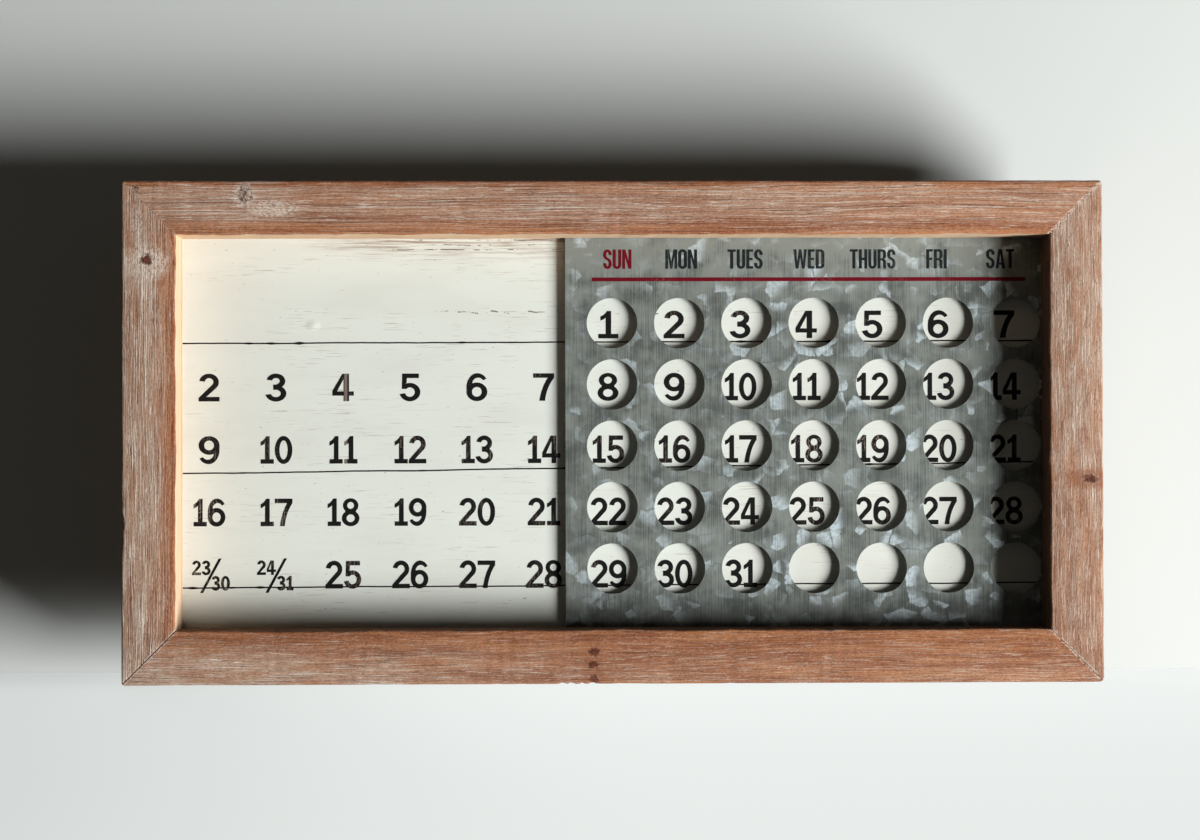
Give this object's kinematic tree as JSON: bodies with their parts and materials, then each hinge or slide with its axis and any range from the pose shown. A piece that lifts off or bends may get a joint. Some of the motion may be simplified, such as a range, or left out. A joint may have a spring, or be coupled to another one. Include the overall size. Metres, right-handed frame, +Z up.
{
  "type": "perpetual calendar",
  "caption": "Deep mitred wooden box frame around a white planked day board, with a galvanised sheet of round windows that slides across it to set the first weekday of the month.",
  "frame": {"origin": "centre of the frame's foot: mid width, mid depth, on the surface that the bottom rail stands on", "axes": "+X along the frame to the viewer's right, +Y from the front to the back, +Z up"},
  "size_m": [0.4, 0.038, 0.205],
  "materials": {
    "limed_timber": "brown stain with whitewash rubbed into the grain",
    "painted_board": "matt white paint, worn",
    "galvanised_sheet": "hot-dip zinc with spangle",
    "plain_steel": "bright"
  },
  "bodies": {
    "frame": {"top_rail": "limed_timber", "bottom_rail": "limed_timber", "left_rail": "limed_timber", "right_rail": "limed_timber", "day_board": "painted_board", "board_points": "plain_steel", "corner_nails": "plain_steel"},
    "panel": {"slide_panel": "galvanised_sheet"}
  },
  "joints": [
    {"name": "panel_slide", "type": "slide", "parent": "frame", "child": "panel", "axis": [1, 0, 0], "range_m": [-0.1668, 0]}
  ]
}
